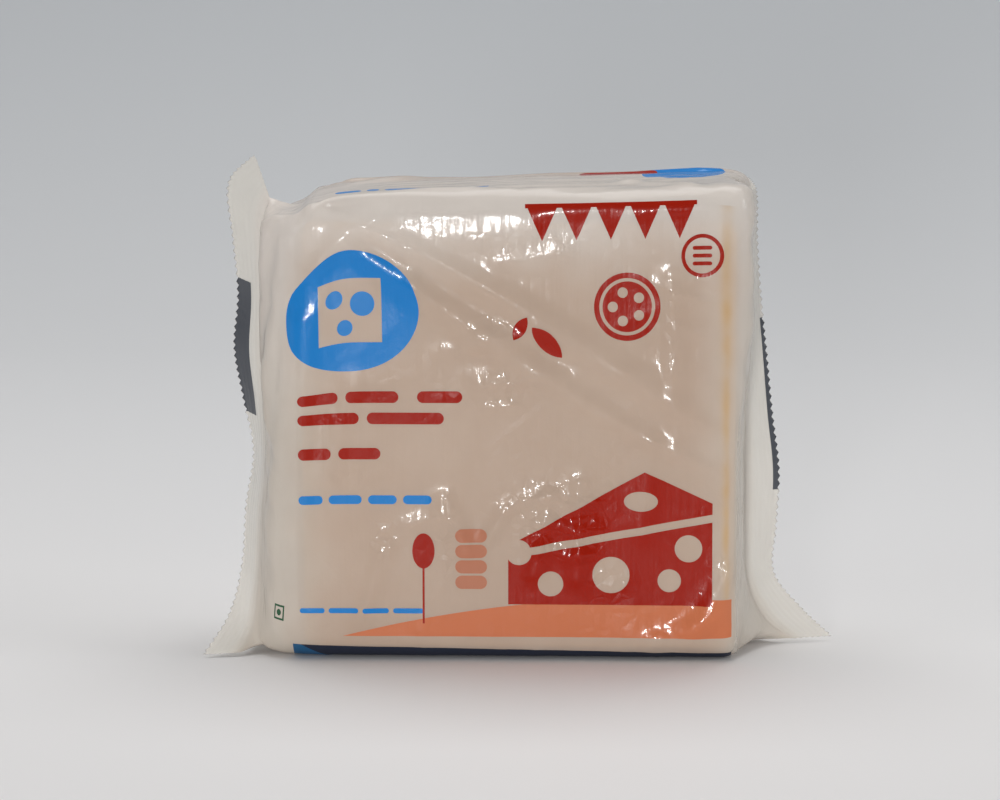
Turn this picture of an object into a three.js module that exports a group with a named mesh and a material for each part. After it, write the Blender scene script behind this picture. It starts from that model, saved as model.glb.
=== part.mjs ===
// A sealed flow-wrap pack of twelve cheese slices, standing on its long narrow side.
//
// A square stack of slices, each in a sleeve of its own, is wrapped in one web of clear milky film.
// The film is a tube round the stack, closed along the back by a lap that lies flat, and closed at the
// left and right ends by crimped seals with a zigzag cut. A flattened tube is wider than the stack is
// high, so each seal runs past the top and the bottom in pointed ears. The lower ears are spread along
// the surface, the upper left one stands up, and the upper right one is folded back.
//
// Millimetres. X runs along the film, Y from the front to the back, Z up. The origin is the middle of
// the flat base.
import * as THREE from 'three';

// The stack of slices under the film
const SLICE_COUNT = 12;
const SLICE_PITCH = 2.75;
const STACK_WIDTH = 86;
const STACK_HEIGHT = 89;
const STACK_DEPTH = SLICE_COUNT * SLICE_PITCH;

// The film round it
const LONG_EDGE_RADIUS = 5;
const END_EDGE_RADIUS = 3;
const TOP_RISE = 2.4; // the top is higher at the right end, as the sleeves stand there
const SHOULDER_DROP = 4.2; // the slack film over the top left corner
const SHOULDER_LENGTH = 13;
const PANEL_BULGE = 0.7;
const RIPPLE_HEIGHT = 0.3;
const RIPPLE_PITCH_X = 30;
const RIPPLE_PITCH_Z = 37;
const RIPPLE_SLANT = 0.4; // how far the ripples lean, as a share of the other pitch
const TOP_WAVE_HEIGHT = 0.45;
const TOP_WAVE_PITCH = 29;
const PUCKER_HEIGHT = 0.55; // of the film drawn in from the stack to the end seals
const PUCKER_PITCH = 11;
const LAP_WIDTH = 10;
const LAP_HEIGHT = 0.6;
const LAP_EDGE = 0.4; // over which the lap steps up from the panel

// The crimped end seals
const SEAL_PLY = 0.6;
const TIP_TAPER = 2;
const TOOTH_PITCH = 2.2;
const TOOTH_DEPTH = 0.8;
const TOOTH_ROOT = 0.93; // share of the seal's width inside the strip that is cut to teeth

// Steps of the mesh
const BLOCK_RINGS = 25;
const CORNER_RINGS = 3;
const END_PANEL_RINGS = 3;
const SEAL_RINGS = 2;
const FLAT_STEPS = 18;
const LAP_STEPS = 4;
const EDGE_STEPS = 4;
const NARROW_STEPS = 5;

// Each end seal is a strip between the line where the two films meet and the cut edge. Both lines have
// a point at every tenth of the seal's length, from the lower ear's tip to the upper one's:
// [out past the end of the stack, depth, height].
const LEFT_MEETING = [
  [9, -12.5, 1.2], [6, -7, 6.5], [5, -3.5, 16], [4.6, -2, 27], [4.6, -1.5, 37], [5, -1.5, 47],
  [5.4, -1.5, 57], [5.4, -1.5, 67], [5.6, -2, 76], [5, -2, 84], [3.4, -1, 89.5],
];
const LEFT_CUT = [
  [16.4, -14, 1.3], [11, -7, 9.5], [9, 0, 18.5], [8, 4.5, 28.5], [7.2, 5.5, 37.5], [8.6, 5.5, 47],
  [10.4, 5, 57.5], [9.6, 4, 67.5], [11.2, 3, 77], [12.3, 2, 87], [8.6, 1, 95.5],
];
const RIGHT_MEETING = [
  [10.5, 0, 1.2], [5.5, -0.5, 5.5], [2.4, -1.5, 13.5], [1.8, -1.5, 23], [1.8, -1, 34], [1.6, -1, 45],
  [1.6, -0.5, 56.5], [1.8, 0, 67.5], [2.2, 0.5, 78], [2.2, 2, 85.5], [1.5, 7.5, 87.5],
];
const RIGHT_CUT = [
  [18, 2.5, 1.3], [12.5, 2.5, 6.5], [7.2, 3, 13.5], [6.3, 5, 23], [7.6, 4.5, 34], [7, 5, 45],
  [5.2, 6, 56.5], [3.4, 7, 67.5], [3.6, 7.5, 78.5], [3.2, 9, 87.5], [1.5, 14, 90],
];

// The larger folds of the front film: [x, height] of both ends, then crest height and half width
const FRONT_FOLDS = [
  [[-37, 77], [-24, 85], 0.8, 3],
  [[-40, 67], [-41, 27], 0.5, 3],
  [[34, 5], [41, 17], 0.8, 2.5],
  [[30.4, 73], [30.8, 40], 0.5, 3],
  [[-7, 54], [30, 55.5], 0.5, 3],
  [[10, 17], [10.5, 34], 0.7, 3.5],
];

const HALF_WIDTH = STACK_WIDTH / 2;
const HALF_HEIGHT = STACK_HEIGHT / 2;
const HALF_DEPTH = STACK_DEPTH / 2;
const FLAT_RUN = HALF_HEIGHT - LONG_EDGE_RADIUS;
const EDGE_RUN = LONG_EDGE_RADIUS * Math.PI / 2;
const NARROW_RUN = HALF_DEPTH - LONG_EDGE_RADIUS;
const HALF_SEAL = FLAT_RUN + EDGE_RUN + NARROW_RUN; // half the width of the flattened tube

const { clamp, lerp, smoothstep } = THREE.MathUtils;
const FRONT = -1;
const BACK = 1;

const seals = {
  left: { outward: -1, meeting: smoothLine(LEFT_MEETING), cut: smoothLine(LEFT_CUT) },
  right: { outward: 1, meeting: smoothLine(RIGHT_MEETING), cut: smoothLine(RIGHT_CUT) },
};

function smoothLine(points) {
  return new THREE.CatmullRomCurve3(points.map((p) => new THREE.Vector3(...p)));
}

// How high the film lies on top of the stack at x
function topHeight(x) {
  const rise = TOP_RISE * (x + HALF_WIDTH) / STACK_WIDTH;
  const drop = SHOULDER_DROP * (1 - smoothstep(x, -HALF_WIDTH, -HALF_WIDTH + SHOULDER_LENGTH));
  return STACK_HEIGHT + rise - drop;
}

// Height of the folds at a place on the front film
function foldHeight(x, z) {
  let height = 0;
  for (const [[x0, z0], [x1, z1], crest, halfWidth] of FRONT_FOLDS) {
    const length2 = (x1 - x0) ** 2 + (z1 - z0) ** 2;
    const along = clamp(((x - x0) * (x1 - x0) + (z - z0) * (z1 - z0)) / length2, 0, 1);
    const away = Math.hypot(x - lerp(x0, x1, along), z - lerp(z0, z1, along));
    height += crest * Math.exp(-((away / halfWidth) ** 2));
  }
  return height;
}

// How far the film stands off a flat front or back panel
function panelRelief(x, q, side) {
  const across = 1 - (q / (FLAT_RUN + EDGE_RUN)) ** 2;
  const along = 1 - (x / HALF_WIDTH) ** 2;
  if (across <= 0) return 0;
  const wavesX = x / RIPPLE_PITCH_X + RIPPLE_SLANT * q / RIPPLE_PITCH_Z;
  const wavesZ = q / RIPPLE_PITCH_Z - RIPPLE_SLANT * x / RIPPLE_PITCH_X;
  const ripple = Math.sin(2 * Math.PI * wavesX + side) * Math.sin(2 * Math.PI * wavesZ + 2 * side);
  const folds = side === FRONT ? foldHeight(x, q + HALF_HEIGHT) : 0;
  const edgeFade = Math.min(1, 4 * across);
  return PANEL_BULGE * across * Math.max(along, 0) + (RIPPLE_HEIGHT * ripple + folds) * edgeFade;
}

// The lap along the back lies flat over the middle of the panel
function lapHeight(q, side) {
  if (side === FRONT) return 0;
  return LAP_HEIGHT * (1 - smoothstep(Math.abs(q), LAP_WIDTH / 2, LAP_WIDTH / 2 + LAP_EDGE));
}

// The top film waves a little between its long edges
function topWave(x, depth) {
  const fade = 1 - (depth / HALF_DEPTH) ** 2;
  return TOP_WAVE_HEIGHT * fade * (1 + Math.sin(2 * Math.PI * x / TOP_WAVE_PITCH));
}

// The section of the wrapped stack. q is the distance along the film from the middle of the front or
// back panel: positive goes up and over to the middle of the top, negative down to the middle of the
// base. inset is how far the section has shrunk where it rounds the stack's end.
function stackPoint(x, q, side, inset) {
  const m = Math.abs(q);
  let depth = HALF_DEPTH;
  let height = m;
  if (m > FLAT_RUN + EDGE_RUN) {
    depth = Math.max(HALF_SEAL - m, 0);
    height = HALF_HEIGHT;
  } else if (m > FLAT_RUN) {
    const turn = (m - FLAT_RUN) / LONG_EDGE_RADIUS;
    depth = HALF_DEPTH - LONG_EDGE_RADIUS * (1 - Math.cos(turn));
    height = FLAT_RUN + LONG_EDGE_RADIUS * Math.sin(turn);
  }
  const relief = panelRelief(x, q, side) + lapHeight(q, side);
  const y = side * (depth * (1 - inset / HALF_DEPTH) + relief);
  const upright = height * (1 - inset / HALF_HEIGHT);
  if (q < 0) return new THREE.Vector3(x, y, HALF_HEIGHT - upright);
  const stretch = (topHeight(x) - HALF_HEIGHT) / HALF_HEIGHT;
  const wave = m > FLAT_RUN ? topWave(x, depth) : 0;
  return new THREE.Vector3(x, y, HALF_HEIGHT + upright * stretch + wave);
}

// A point of an end seal: reach 0 is where the films meet and 1 is the cut edge, past it the teeth
function sealPoint(seal, q, side, reach) {
  const t = clamp((q / HALF_SEAL + 1) / 2, 0, 1);
  const meeting = seal.meeting.getPoint(t);
  const cut = seal.cut.getPoint(t);
  const across = cut.clone().sub(meeting);
  const tangent = seal.cut.getTangent(t);
  const normal = tangent.cross(across).normalize();
  if (normal.y < 0) normal.negate();
  const ply = SEAL_PLY / 2 * clamp((HALF_SEAL - Math.abs(q)) / TIP_TAPER, 0, 1);
  const p = meeting.addScaledVector(across, reach).addScaledVector(normal, side * ply);
  p.x = seal.outward * (HALF_WIDTH + p.x);
  return p;
}

// Places along half of the tube's girth, closer together round the long edges
function girthSteps() {
  const steps = [];
  const run = (from, to, count) => {
    for (let i = 0; i < count; i++) steps.push(lerp(from, to, i / count));
  };
  const edge = FLAT_RUN + EDGE_RUN;
  run(-HALF_SEAL, -edge, NARROW_STEPS);
  run(-edge, -FLAT_RUN, EDGE_STEPS);
  const lap = LAP_WIDTH / 2;
  run(-FLAT_RUN, -lap - LAP_EDGE, FLAT_STEPS);
  run(-lap - LAP_EDGE, -lap, 1);
  run(-lap, lap, LAP_STEPS);
  run(lap, lap + LAP_EDGE, 1);
  run(lap + LAP_EDGE, FLAT_RUN, FLAT_STEPS);
  run(FLAT_RUN, edge, EDGE_STEPS);
  run(edge, HALF_SEAL, NARROW_STEPS);
  return steps;
}

// Two places for every tooth of the cut
function toothSteps() {
  const count = 2 * Math.round(HALF_SEAL / TOOTH_PITCH) * 2;
  return Array.from({ length: count }, (_, i) => lerp(-HALF_SEAL, HALF_SEAL, i / count));
}

// A closed ring up the front and down the back. turn runs from 0 to 2 round the ring.
function makeRing(steps, pointAt) {
  const up = steps.map((q) => ({ q, side: FRONT, turn: (q + HALF_SEAL) / (2 * HALF_SEAL) }));
  const mirrored = steps.slice(1).map((q) => -q).sort((a, b) => b - a);
  const top = { q: HALF_SEAL, side: BACK, turn: 1 };
  const down = mirrored.map((q) => ({ q, side: BACK, turn: 1 + (HALF_SEAL - q) / (2 * HALF_SEAL) }));
  return [...up, top, ...down].map(({ q, side, turn }, i) => ({ turn, point: pointAt(q, side, i) }));
}

function stackRing(x, inset) {
  return makeRing(girthSteps(), (q, side) => stackPoint(x, q, side, inset));
}

function endPanelRing(seal, share) {
  const x = seal.outward * HALF_WIDTH;
  return makeRing(girthSteps(), (q, side) => {
    const point = stackPoint(x, q, side, END_EDGE_RADIUS).lerp(sealPoint(seal, q, side, 0), share);
    const pucker = Math.sin(2 * Math.PI * (q / PUCKER_PITCH + share * side) + seal.outward);
    const fade = Math.sin(Math.PI * share) * clamp((HALF_SEAL - Math.abs(q)) / PUCKER_PITCH, 0, 1);
    point.x += seal.outward * PUCKER_HEIGHT * pucker * fade;
    return point;
  });
}

function sealRing(seal, reach) {
  return makeRing(girthSteps(), (q, side) => sealPoint(seal, q, side, reach));
}

function toothRing(seal) {
  const length = seal.cut.getPoint(0.5).distanceTo(seal.meeting.getPoint(0.5));
  return makeRing(toothSteps(), (q, side, i) => (
    sealPoint(seal, q, side, 1 + (i % 2 ? TOOTH_DEPTH / length : 0))
  ));
}

// The rings of one end, from the stack outwards
function endRings(seal) {
  const rings = [];
  for (let i = 1; i <= CORNER_RINGS; i++) {
    const turn = i / CORNER_RINGS * Math.PI / 2;
    const x = HALF_WIDTH - END_EDGE_RADIUS * (1 - Math.sin(turn));
    rings.push(stackRing(seal.outward * x, END_EDGE_RADIUS * (1 - Math.cos(turn))));
  }
  for (let i = 1; i <= END_PANEL_RINGS; i++) rings.push(endPanelRing(seal, i / END_PANEL_RINGS));
  for (let i = 1; i <= SEAL_RINGS; i++) rings.push(sealRing(seal, TOOTH_ROOT * i / SEAL_RINGS));
  rings.push(toothRing(seal));
  return rings;
}

function blockRings() {
  const reach = HALF_WIDTH - END_EDGE_RADIUS;
  return Array.from({ length: BLOCK_RINGS }, (_, i) => (
    stackRing(lerp(-reach, reach, i / (BLOCK_RINGS - 1)), 0)
  ));
}

// Joins two rings that may have different numbers of points
function zip(a, b, triangles) {
  let i = 0;
  let j = 0;
  const at = (ring, k) => ring[k % ring.length].index;
  const turnAt = (ring, k) => ring[k % ring.length].turn + (k >= ring.length ? 2 : 0);
  while (i < a.length || j < b.length) {
    const stepA = j >= b.length || (i < a.length && turnAt(a, i + 1) <= turnAt(b, j + 1));
    if (stepA) {
      triangles.push(at(a, i), at(b, j), at(a, i + 1));
      i++;
    } else {
      triangles.push(at(a, i), at(b, j), at(b, j + 1));
      j++;
    }
  }
}

// Closes the cut edge between the front film and the back film
function closeEdge(ring, outward, triangles) {
  const half = ring.length / 2;
  for (let i = 0; i < half; i++) {
    const front = [ring[i].index, ring[i + 1].index];
    const back = [ring[(ring.length - i) % ring.length].index, ring[ring.length - i - 1].index];
    const corners = [[front[0], back[0], front[1]], [front[1], back[0], back[1]]];
    for (const [p, q, r] of corners) {
      if (p === q || q === r || p === r) continue;
      triangles.push(...(outward > 0 ? [p, q, r] : [p, r, q]));
    }
  }
}

function wrapperGeometry() {
  const left = endRings(seals.left).reverse();
  const rings = [...left, ...blockRings(), ...endRings(seals.right)];
  const positions = [];
  const triangles = [];
  for (const ring of rings) {
    for (const place of ring) {
      place.index = positions.length / 3;
      positions.push(...place.point);
    }
  }
  for (let i = 1; i < rings.length; i++) zip(rings[i - 1], rings[i], triangles);
  closeEdge(rings[0], -1, triangles);
  closeEdge(rings[rings.length - 1], 1, triangles);
  const geometry = new THREE.BufferGeometry();
  geometry.setAttribute('position', new THREE.Float32BufferAttribute(positions, 3));
  geometry.setIndex(triangles);
  geometry.computeVertexNormals();
  return geometry;
}

const milkyFilm = new THREE.MeshStandardMaterial({ color: 0xd9cdbf, roughness: 0.3, metalness: 0 });

const wrapper = new THREE.Mesh(wrapperGeometry(), milkyFilm);
wrapper.name = 'film_wrapper';

const pack = new THREE.Group();
pack.add(wrapper);

export default pack;
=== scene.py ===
# A sealed flow-wrap pack of twelve cheese slices, standing on its long narrow side.
# Metres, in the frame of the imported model: X runs along the film, Y from the front to the back, Z up.
import math
import random

import bmesh
import bpy
import numpy as np
from mathutils import Matrix, Vector, noise


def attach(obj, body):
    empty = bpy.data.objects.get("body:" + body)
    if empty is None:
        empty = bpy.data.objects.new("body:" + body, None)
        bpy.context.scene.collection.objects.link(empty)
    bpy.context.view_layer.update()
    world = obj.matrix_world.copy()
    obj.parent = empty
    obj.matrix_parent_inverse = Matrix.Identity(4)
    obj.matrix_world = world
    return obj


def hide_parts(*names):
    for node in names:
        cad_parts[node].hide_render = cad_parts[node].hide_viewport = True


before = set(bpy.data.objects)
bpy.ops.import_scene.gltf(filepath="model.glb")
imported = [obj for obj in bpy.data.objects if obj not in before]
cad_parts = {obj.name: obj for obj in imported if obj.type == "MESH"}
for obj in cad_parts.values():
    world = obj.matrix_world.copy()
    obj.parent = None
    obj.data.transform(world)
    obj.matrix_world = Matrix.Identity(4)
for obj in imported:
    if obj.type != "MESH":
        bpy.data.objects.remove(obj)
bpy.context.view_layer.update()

# Cheese slices
# Twelve square slices of pale processed cheese stand on edge, one behind the other. The cheese is cast
# as a sheet and cut, so the faces are smooth and a little bowed, and the corners and edges are soft.
MM = 0.001
SLICE_COUNT = 12
SLICE_PITCH = 2.62 * MM
SLICE_SIDE = 82.4 * MM
SLICE_HEIGHT = 82 * MM
SLICE_THICKNESS = 2.3 * MM
SLICE_FOOT = 2.5 * MM  # height of the lower edge
SLICE_SHIFT = 0.6 * MM  # the stack sits nearer the right end
SLICE_CORNER = 2.5 * MM
SLICE_SOFTNESS = 0.45 * MM
SLICE_BOW = 0.12 * MM
SLICE_CUTS = 14
CHEESE_COLOUR = (0.80, 0.47, 0.19, 1)
CHEESE_PALE = (0.86, 0.60, 0.30, 1)


def depth_of(number):
    """How far back the middle of a slice stands."""
    return (number - (SLICE_COUNT - 1) / 2) * SLICE_PITCH


def make_piece(name, shape, material):
    """A smooth-shaded object at the origin from a bmesh."""
    mesh = bpy.data.meshes.new(name)
    shape.to_mesh(mesh)
    shape.free()
    mesh.shade_smooth()
    if material:
        mesh.materials.append(material)
    piece = bpy.data.objects.new(name, mesh)
    bpy.context.collection.objects.link(piece)
    return piece


def start_material(name):
    """A material with its node tree and its Principled shader."""
    material = bpy.data.materials.new(name)
    material.use_nodes = True
    tree = material.node_tree
    return material, tree, tree.nodes["Principled BSDF"]


def add_node(tree, kind, inputs=(), **settings):
    """A new node, with its settings and inputs given as numbers, colours or other nodes' sockets."""
    made = tree.nodes.new(kind)
    for name, value in settings.items():
        setattr(made, name, value)
    for name, value in dict(inputs).items():
        if isinstance(value, bpy.types.NodeSocket):
            tree.links.new(value, made.inputs[name])
        else:
            made.inputs[name].default_value = value
    return made


def noise_at(tree, place, scale, detail=2.0, roughness=0.5):
    """Noise between 0 and 1 at a place."""
    inputs = {"Vector": place, "Scale": scale, "Detail": detail, "Roughness": roughness}
    return add_node(tree, "ShaderNodeTexNoise", inputs).outputs["Fac"]


def mixed(tree, share, first, second):
    """The colour between two others."""
    mix = add_node(tree, "ShaderNodeMix", data_type="RGBA")
    for index, value in ((0, share), (6, first), (7, second)):
        if isinstance(value, bpy.types.NodeSocket):
            tree.links.new(value, mix.inputs[index])
        else:
            mix.inputs[index].default_value = value
    return mix.outputs[2]


def cheese_material():
    material, tree, shader = start_material("cheese")
    place = add_node(tree, "ShaderNodeTexCoord").outputs["Object"]
    clouds = noise_at(tree, place, 60, detail=4)
    tree.links.new(mixed(tree, clouds, CHEESE_COLOUR, CHEESE_PALE), shader.inputs["Base Color"])
    gloss = add_node(tree, "ShaderNodeMapRange", {"Value": clouds, "To Min": 0.38, "To Max": 0.55})
    tree.links.new(gloss.outputs[0], shader.inputs["Roughness"])
    pores = noise_at(tree, place, 900, detail=3)
    bump = add_node(tree, "ShaderNodeBump", {"Height": pores, "Strength": 0.25, "Distance": 0.1 * MM})
    tree.links.new(bump.outputs[0], shader.inputs["Normal"])
    return material


cheese = cheese_material()
draw = random.Random(12)
for number in range(SLICE_COUNT):
    shape = bmesh.new()
    size = Matrix.Diagonal((SLICE_SIDE, SLICE_THICKNESS, SLICE_HEIGHT, 1))
    bmesh.ops.create_cube(shape, size=1, matrix=size)
    upright = [e for e in shape.edges if abs(e.verts[0].co.y - e.verts[1].co.y) > SLICE_THICKNESS / 2]
    bmesh.ops.bevel(shape, geom=upright, offset=SLICE_CORNER, segments=5, profile=0.5,
                    affect="EDGES", material=-1)
    rims = [e for e in shape.edges if e.calc_face_angle(0) > 1.2]
    bmesh.ops.bevel(shape, geom=rims, offset=SLICE_SOFTNESS, segments=3, profile=0.5,
                    affect="EDGES", material=-1)
    for axis, reach in ((Vector((1, 0, 0)), SLICE_SIDE), (Vector((0, 0, 1)), SLICE_HEIGHT)):
        for cut in range(1, SLICE_CUTS):
            parts = shape.verts[:] + shape.edges[:] + shape.faces[:]
            place = axis * reach * (cut / SLICE_CUTS - 0.5)
            bmesh.ops.bisect_plane(shape, geom=parts, plane_co=place, plane_no=axis)
    lean = draw.uniform(-0.25, 0.25) * MM
    bow = draw.uniform(-1, 1) * SLICE_BOW
    middle = Vector((SLICE_SHIFT + lean, depth_of(number), SLICE_FOOT + SLICE_HEIGHT / 2))
    for vert in shape.verts:
        across = math.cos(math.pi * vert.co.x / SLICE_SIDE) * math.cos(math.pi * vert.co.z / SLICE_HEIGHT)
        vert.co.y += bow * across
        vert.co += middle
    bmesh.ops.recalc_face_normals(shape, faces=shape.faces)
    piece = make_piece("cheese_slice_%02d" % (number + 1), shape, cheese)
    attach(piece, "root")
    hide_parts("film_wrapper")

# Slice sleeves
# Each slice lies in a sleeve of thin clear film, drawn tight over its faces. The film runs on past the
# cheese and is crimped flat above and below it, and these loose edges wave and bend a little.
SLEEVE_WIDTH = 84.6 * MM
SLEEVE_GAP = 0.06 * MM  # between a slice and its sleeve
SLEEVE_EDGE = 0.16 * MM  # half thickness of the flat edges
SLEEVE_TAPER = 1.5 * MM  # over which the sleeve closes from the slice to its edge
SLEEVE_WAVE = 0.35 * MM
SLEEVE_FOOT = 0.5 * MM
SLEEVE_HEADROOM = 0.8 * MM  # under the outer film
CRIMP_PITCH = 1.0 * MM
CRIMP_HEIGHT = 0.06 * MM
STACK_WIDTH = 86 * MM
STACK_HEIGHT = 89 * MM
STACK_DEPTH = 33 * MM
LONG_EDGE = 5 * MM  # radius of the outer film round the long edges
TOP_RISE = 2.4 * MM
SHOULDER_DROP = 4.2 * MM
SHOULDER_LENGTH = 13 * MM
SLEEVE_COLOUR = (0.80, 0.74, 0.66, 1)
SLEEVE_ALPHA = 0.30


def smoothstep(value, low, painted_top_light):
    share = np.clip((value - low) / (painted_top_light - low), 0, 1)
    return share * share * (3 - 2 * share)


def top_height(x):
    """How high the outer film lies on the stack: it rises to the right and slopes off at the left."""
    rise = TOP_RISE * (x + STACK_WIDTH / 2) / STACK_WIDTH
    drop = SHOULDER_DROP * (1 - smoothstep(x, -STACK_WIDTH / 2, SHOULDER_LENGTH - STACK_WIDTH / 2))
    return STACK_HEIGHT + rise - drop


def edge_drop(depth):
    """How far the rounded outer film lies inside the top and the foot at a distance from the middle."""
    past = min(max(abs(depth) - (STACK_DEPTH / 2 - LONG_EDGE), 0), LONG_EDGE)
    return LONG_EDGE - math.sqrt(LONG_EDGE ** 2 - past ** 2)


def sleeve_material():
    material, tree, shader = start_material("sleeve_film")
    place = add_node(tree, "ShaderNodeTexCoord").outputs["Object"]
    haze = noise_at(tree, place, 90, detail=3)
    tree.links.new(mixed(tree, haze, SLEEVE_COLOUR, (0.9, 0.87, 0.82, 1)), shader.inputs["Base Color"])
    clear = add_node(tree, "ShaderNodeMapRange",
                     {"Value": haze, "To Min": SLEEVE_ALPHA - 0.08, "To Max": SLEEVE_ALPHA + 0.12})
    tree.links.new(clear.outputs[0], shader.inputs["Alpha"])
    shader.inputs["Roughness"].default_value = 0.22
    creases = noise_at(tree, place, 260, detail=4)
    bump = add_node(tree, "ShaderNodeBump", {"Height": creases, "Strength": 0.35, "Distance": 0.2 * MM})
    tree.links.new(bump.outputs[0], shader.inputs["Normal"])
    return material


sleeve_film = sleeve_material()
for number in range(SLICE_COUNT):
    shape = bmesh.new()
    flat = Matrix.Rotation(math.pi / 2, 4, "X")
    bmesh.ops.create_grid(shape, x_segments=46, y_segments=52, size=0.5, matrix=flat)
    bmesh.ops.solidify(shape, geom=shape.verts[:] + shape.edges[:] + shape.faces[:], thickness=0.01)
    halfway = sum(vert.co.y for vert in shape.verts) / len(shape.verts)
    offset = draw.uniform(0, 100)
    drop = edge_drop(abs(depth_of(number)) + 2 * SLEEVE_EDGE)
    foot = SLEEVE_FOOT + drop
    for vert in shape.verts:
        side = 1 if vert.co.y > halfway else -1
        x = vert.co.x * SLEEVE_WIDTH + SLICE_SHIFT * 0.4
        top = float(top_height(x)) - SLEEVE_HEADROOM - drop
        z = foot + (vert.co.z + 0.5) * (top - foot)
        outside = max(abs(x - SLICE_SHIFT) - SLICE_SIDE / 2,
                      abs(z - SLICE_FOOT - SLICE_HEIGHT / 2) - SLICE_HEIGHT / 2, 0)
        closing = float(smoothstep(outside, 0, SLEEVE_TAPER))
        full = SLICE_THICKNESS / 2 + SLEEVE_GAP
        half = full + (SLEEVE_EDGE - full) * closing
        wave = noise.noise(Vector((x / (9 * MM), z / (14 * MM), offset)))
        crimp = math.sin(2 * math.pi * z / CRIMP_PITCH) * CRIMP_HEIGHT
        vert.co = Vector((x, depth_of(number) + side * half + closing * (SLEEVE_WAVE * wave + crimp), z))
    bmesh.ops.recalc_face_normals(shape, faces=shape.faces)
    piece = make_piece("slice_sleeve_%02d" % (number + 1), shape, sleeve_film)
    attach(piece, "root")
    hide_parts("film_wrapper")

# Outer film
# One web of milky printed film is folded into a tube round the stack, lapped and welded flat down the
# back, and crimped shut at both ends, where a zigzag knife cuts it. Flattened, the tube is wider than
# the stack is high, so each seal runs past the top and the bottom in pointed ears.
END_EDGE = 3 * MM
PANEL_BULGE = 0.7 * MM
RIPPLE_HEIGHT = 0.3 * MM
RIPPLE_PITCH_X = 30 * MM
RIPPLE_PITCH_Z = 37 * MM
RIPPLE_SLANT = 0.4
TOP_WAVE_HEIGHT = 0.45 * MM
TOP_WAVE_PITCH = 29 * MM
PUCKER_HEIGHT = 0.2 * MM
PUCKER_PITCH = 11 * MM
RUN_ON = 8 * MM  # how far the front and back run on past the stack before they turn to the seal
SWELL = 2.2 * MM
TURN_IN = 7.5 * MM
LEFT_LEAD = 0.8  # the lower left front runs straight into its seal over this share of the seal
RIGHT_LOW_SHARE = 0.45  # of the run-on and swell, at the lower right
LAP_WIDTH = 10 * MM
LAP_HEIGHT = 0.35 * MM
LAP_EDGE = 0.5 * MM
SEAL_PLY = 0.2 * MM
SEAL_WIDTH = 8 * MM  # along the web
TIP_TAPER = 2 * MM
RIB_PITCH = 1.15 * MM
RIB_HEIGHT = 0.045 * MM
TEETH = 72
TOOTH_DEPTH = 0.45 * MM
FLAT_RUN = STACK_HEIGHT / 2 - LONG_EDGE
EDGE_RUN = LONG_EDGE * math.pi / 2
NARROW_RUN = STACK_DEPTH / 2 - LONG_EDGE
HALF_SEAL = FLAT_RUN + EDGE_RUN + NARROW_RUN  # half the width of the flattened tube
HALF_WIDTH = STACK_WIDTH / 2
HALF_HEIGHT = STACK_HEIGHT / 2
HALF_DEPTH = STACK_DEPTH / 2
SEAL_START = HALF_WIDTH + END_EDGE * (math.pi / 2 - 1) + HALF_DEPTH  # along the web from its middle

# Each seal lies between the line where the plies meet and the cut edge. Both lines have a point at each
# tenth of the seal, from the lower ear's tip to the upper one's: past the stack's end, depth, height.
LEFT_MEETING = [
    (10.4, -14.5, 0.7), (8.2, -11.5, 4), (7, -9.5, 13.5), (6.4, -8, 25), (5.6, -6.5, 36.5), (5.4, -4, 47),
    (6, -1.5, 57), (5.8, -1.5, 67), (5.8, -2, 76), (5.6, -2, 83), (4.7, -1, 87.5),
]
LEFT_CUT = [
    (17.2, -16, 0.5), (12.5, -9.5, 7.5), (10.3, -5, 16.5), (9.7, -1.5, 27.5), (8.4, 1.5, 37.5), (10.5, 3.5, 47.5),
    (12.2, 3.6, 57.5), (11.4, 4, 68), (12.2, 3, 79), (12.9, 2, 90), (7.6, 1, 95.8),
]
RIGHT_MEETING = [
    (10.5, 0, 0.7), (5, -0.5, 5.5), (1.4, -1.5, 13.5), (0.7, -1.5, 23), (0.6, -1, 34), (0.6, -1, 45),
    (0.6, -0.5, 56.5), (0.6, 0, 67.5), (0.8, 0.5, 78), (1, 2, 85.5), (1, 7.5, 87.5),
]
RIGHT_CUT = [
    (18.6, 2.5, 0.7), (12.5, 2.5, 6.5), (7, 3, 13.5), (7.4, 3, 23), (7.8, 2.5, 34), (6.4, 4, 45),
    (5.2, 5.5, 56.5), (4, 7, 67.5), (3.2, 7.5, 78.5), (3, 9, 87.5), (1.5, 14, 90),
]

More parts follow.
